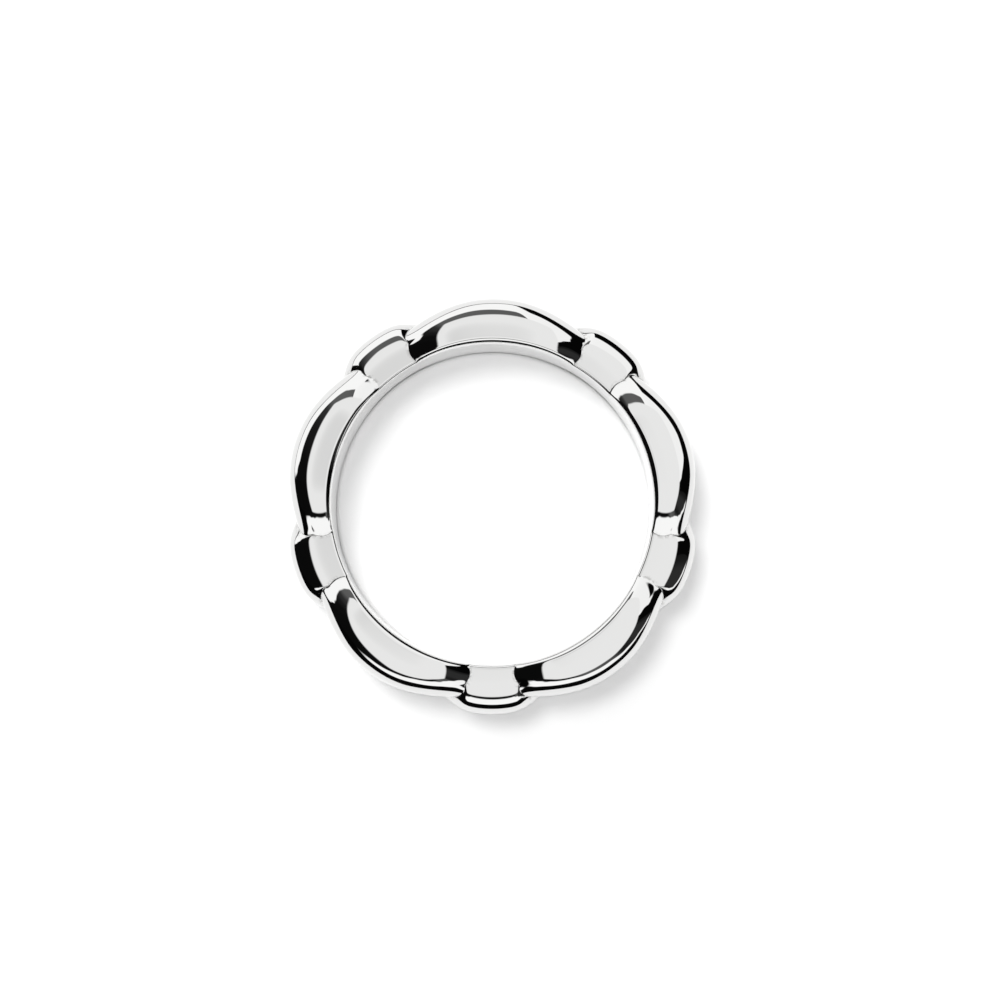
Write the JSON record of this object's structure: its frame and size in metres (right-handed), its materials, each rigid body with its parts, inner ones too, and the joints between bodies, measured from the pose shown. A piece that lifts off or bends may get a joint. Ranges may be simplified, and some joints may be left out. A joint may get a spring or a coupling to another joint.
{
  "type": "chain link ring",
  "caption": "Polished silver finger ring whose band is a closed chain of long domed links joined by short round ones, cast in one piece.",
  "frame": {"origin": "on the axis of the finger hole, halfway along the ring's width", "axes": "+Z along the finger axis, so the ring lies on its side; +Y through the middle of a long link; +X to the right of it as seen from +Z"},
  "size_m": [0.0218, 0.0224, 0.005],
  "materials": {
    "polished_silver": "mirror-polished sterling silver"
  },
  "bodies": {
    "root": {"link_band": "polished_silver"}
  },
  "joints": []
}
